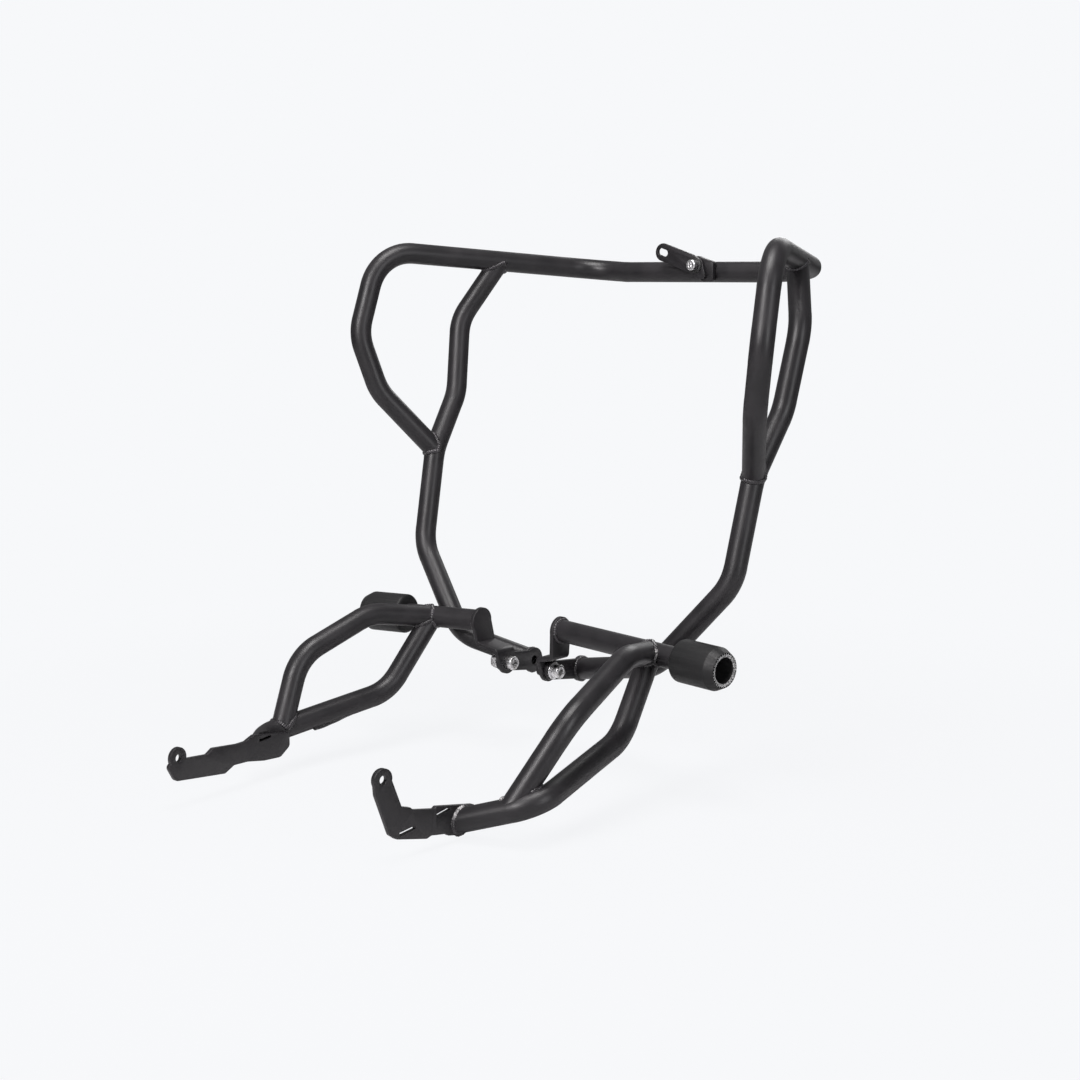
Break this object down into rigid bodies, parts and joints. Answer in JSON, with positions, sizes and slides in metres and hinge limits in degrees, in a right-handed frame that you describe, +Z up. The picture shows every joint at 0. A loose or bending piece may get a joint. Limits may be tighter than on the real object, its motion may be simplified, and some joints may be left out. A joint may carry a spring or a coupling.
{
  "type": "motorcycle crash bars",
  "caption": "Bent-tube crash bars for a motorcycle: an upper hoop with two legs, bolted to lower guards with sliders and rear plates.",
  "frame": {"origin": "middle of the engine bolt's axis, halfway between the two engine lugs", "axes": "+X to the motorcycle's right along the engine bolt, +Y forward, +Z up"},
  "size_m": [0.6034, 0.7206, 0.5901],
  "materials": {
    "black_powder_coat": "satin black powder coat on steel tube, fine texture",
    "zinc_fasteners": "bright zinc plated or stainless socket screws, washers and nuts",
    "bare_steel": "bare turned steel inside the tubes",
    "black_washer": "black oxide washer",
    "slider_plastic": "turned black nylon, satin"
  },
  "bodies": {
    "root": {"hoop_tube": "black_powder_coat", "left_leg_tube": "black_powder_coat", "right_leg_tube": "black_powder_coat", "left_engine_lug": "black_powder_coat", "right_engine_lug": "black_powder_coat", "left_weld_nut": "bare_steel", "right_weld_nut": "bare_steel", "crossbar_lug": "black_powder_coat", "slotted_tab": "black_powder_coat", "tab_washer": "black_washer", "tab_bolt": "zinc_fasteners", "left_stub_tube": "black_powder_coat", "right_stub_tube": "black_powder_coat", "left_main_tube": "black_powder_coat", "right_main_tube": "black_powder_coat", "left_lower_tube": "black_powder_coat", "right_lower_tube": "black_powder_coat", "left_bracket": "black_powder_coat", "right_bracket": "black_powder_coat", "left_rear_plate": "black_powder_coat", "right_rear_plate": "black_powder_coat", "left_joint_bolt": "zinc_fasteners", "right_joint_bolt": "zinc_fasteners", "left_joint_washer": "zinc_fasteners", "right_joint_washer": "zinc_fasteners", "left_joint_nut": "zinc_fasteners", "right_joint_nut": "black_powder_coat", "left_stub_plug": "bare_steel", "right_stub_plug": "bare_steel", "left_slider": "slider_plastic", "right_slider": "slider_plastic", "left_slider_washer": "zinc_fasteners", "right_slider_washer": "zinc_fasteners", "left_slider_bolt": "zinc_fasteners", "right_slider_bolt": "zinc_fasteners", "frame_welds": "black_powder_coat", "left_guard_welds": "black_powder_coat", "right_guard_welds": "black_powder_coat"}
  },
  "joints": []
}
